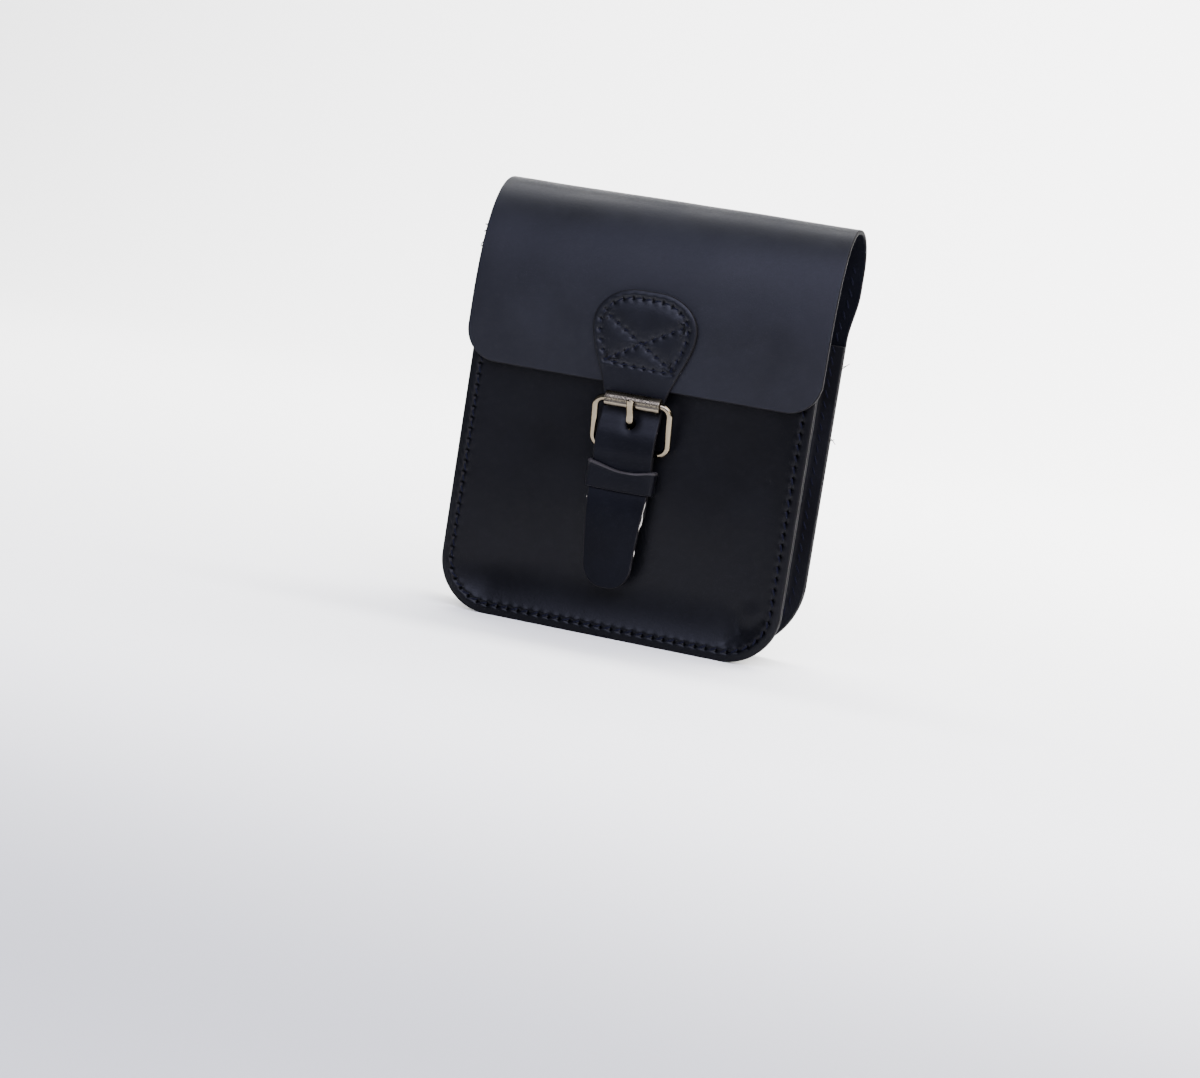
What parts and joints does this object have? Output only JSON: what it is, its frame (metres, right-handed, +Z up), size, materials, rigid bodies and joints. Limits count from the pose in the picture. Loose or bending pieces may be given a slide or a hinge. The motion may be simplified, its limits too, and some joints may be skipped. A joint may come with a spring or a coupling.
{
  "type": "bicycle handlebar bag",
  "caption": "Upright leather satchel with a flap, closed by a strap and roller buckle, carried on a handlebar by loops on its back.",
  "frame": {"origin": "middle of the bag's box, on the surface that it stands on", "axes": "+X to the right as one looks at the flap, +Y from the flap to the handlebar, +Z up"},
  "size_m": [0.176, 0.0978, 0.2085],
  "materials": {
    "black_leather": "satin smooth grain, black with a faint navy tint",
    "gusset_leather": "satin black with dyed raw edges",
    "strap_leather": "satin black with dyed raw edges",
    "nickel_plate": "bright nickel plate, fine scratches"
  },
  "bodies": {
    "root": {"back_and_flap": "black_leather", "front_panel": "black_leather", "gusset": "gusset_leather", "closing_strap": "strap_leather", "buckle_frame": "nickel_plate", "buckle_roller": "nickel_plate", "buckle_prong": "nickel_plate", "buckle_tab": "strap_leather", "strap_keeper": "strap_leather", "handlebar_loop_left": "strap_leather", "handlebar_loop_right": "strap_leather"}
  },
  "joints": []
}
